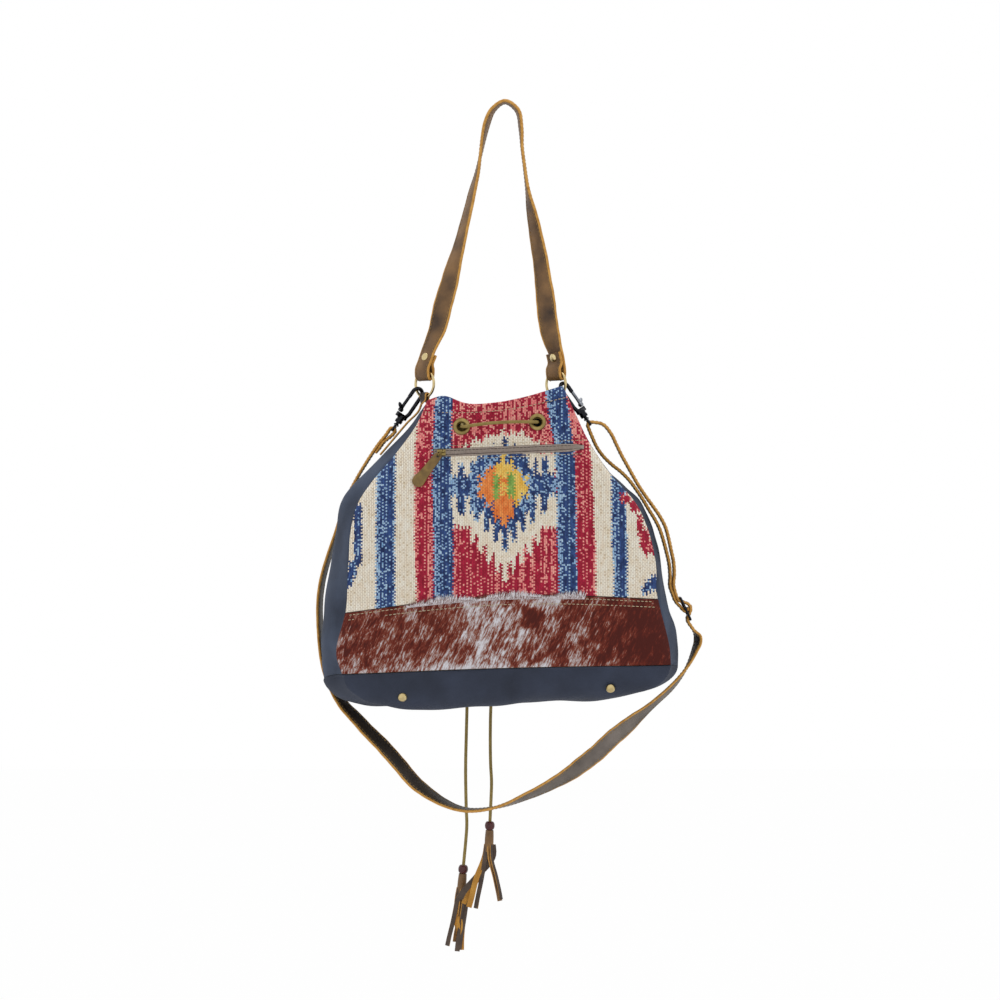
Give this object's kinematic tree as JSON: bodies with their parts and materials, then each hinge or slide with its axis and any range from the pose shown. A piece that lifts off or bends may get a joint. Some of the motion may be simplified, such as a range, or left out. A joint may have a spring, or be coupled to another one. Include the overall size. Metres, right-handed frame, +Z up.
{
  "type": "drawstring bucket bag",
  "caption": "Drawstring shoulder bag: woven front over a hide band, canvas sides, zip pocket, laced mouth with beads and tassels, ring-held handle and clip-on crossbody strap.",
  "frame": {"origin": "underside of the handle's highest point, where a peg or hand carries the bag", "axes": "+X across the front to the viewer's right, +Y towards the back, +Z up, as the bag hangs"},
  "size_m": [0.4264, 0.1398, 0.9507],
  "materials": {
    "kilim": "coarse hand weave",
    "hair_on_hide": "short hair",
    "canvas": "plain weave",
    "lining": "plain weave",
    "zip_cloth": "tape",
    "antique_brass": "antique satin",
    "leather": "waxed, raw edges",
    "lace": "matt",
    "wood": "oiled",
    "gunmetal": "satin black"
  },
  "bodies": {
    "bag": {"kilim_front_panel": "kilim", "hide_front_panel": "hair_on_hide", "canvas_back_panel": "canvas", "canvas_gusset_left": "canvas", "canvas_gusset_right": "canvas", "canvas_base": "canvas", "lining": "lining", "zip_pocket_pouch": "lining", "zip_tape": "zip_cloth", "zip_chain": "zip_cloth", "eyelet_front_left": "antique_brass", "eyelet_front_right": "antique_brass", "eyelet_back_left": "antique_brass", "eyelet_back_right": "antique_brass", "drawcord": "lace", "drawcord_tail_left": "lace", "drawcord_tail_right": "lace", "tassel_left": "leather", "tassel_right": "leather", "handle_strap": "leather", "handle_rivet_left": "antique_brass", "handle_rivet_right": "antique_brass", "ring_left": "antique_brass", "ring_right": "antique_brass", "ring_tab_left": "leather", "ring_tab_right": "leather", "clasp_eye_left": "gunmetal", "clasp_eye_right": "gunmetal", "crossbody_strap": "leather", "strap_slider": "gunmetal", "foot_front_left": "antique_brass", "foot_front_right": "antique_brass", "foot_back_left": "antique_brass", "foot_back_right": "antique_brass"},
    "zip_slider": {"zip_slider": "antique_brass"},
    "zip_pull": {"zip_pull_ring": "antique_brass", "zip_pull_tab": "leather"},
    "clasp_hook_left": {"clasp_hook_left": "gunmetal"},
    "clasp_gate_left": {"clasp_gate_left": "gunmetal"},
    "clasp_hook_right": {"clasp_hook_right": "gunmetal"},
    "clasp_gate_right": {"clasp_gate_right": "gunmetal"},
    "bead_left": {"bead_left": "wood"},
    "bead_right": {"bead_right": "wood"}
  },
  "joints": [
    {"name": "zip_slide", "type": "slide", "parent": "bag", "child": "zip_slider", "axis": [0.9991, 0.006, 0.0426], "range_m": [0, 0.138]},
    {"name": "zip_pull_swing", "type": "hinge", "parent": "zip_slider", "child": "zip_pull", "pos_m": [-0.06903, -0.0457, -0.38434], "axis": [0.0029, 0.9788, -0.205], "range_deg": [-40, 0]},
    {"name": "clasp_turn_left", "type": "hinge", "parent": "bag", "child": "clasp_hook_left", "pos_m": [-0.11438, 0.00663, -0.34576], "axis": [0.5593, 0, 0.829], "range_deg": [-3, 3]},
    {"name": "clasp_turn_right", "type": "hinge", "parent": "bag", "child": "clasp_hook_right", "pos_m": [0.0837, -0.00861, -0.33998], "axis": [-0.5708, 0, 0.8211], "range_deg": [-3, 3]},
    {"name": "gate_left", "type": "hinge", "parent": "clasp_hook_left", "child": "clasp_gate_left", "pos_m": [-0.11469, 0.0026, -0.3371], "axis": [-0.5139, 0.7846, 0.3467], "range_deg": [0, 18], "stiffness_Nm_per_rad": 0.02},
    {"name": "gate_right", "type": "hinge", "parent": "clasp_hook_right", "child": "clasp_gate_right", "pos_m": [0.08319, -0.00369, -0.33181], "axis": [0.6217, -0.6533, 0.4321], "range_deg": [0, 18], "stiffness_Nm_per_rad": 0.02},
    {"name": "bead_slide_left", "type": "slide", "parent": "bag", "child": "bead_left", "axis": [0.0896, 0, 0.996], "range_m": [0, 0.02]},
    {"name": "bead_slide_right", "type": "slide", "parent": "bag", "child": "bead_right", "axis": [0.045, 0, 0.999], "range_m": [0, 0.02]}
  ]
}
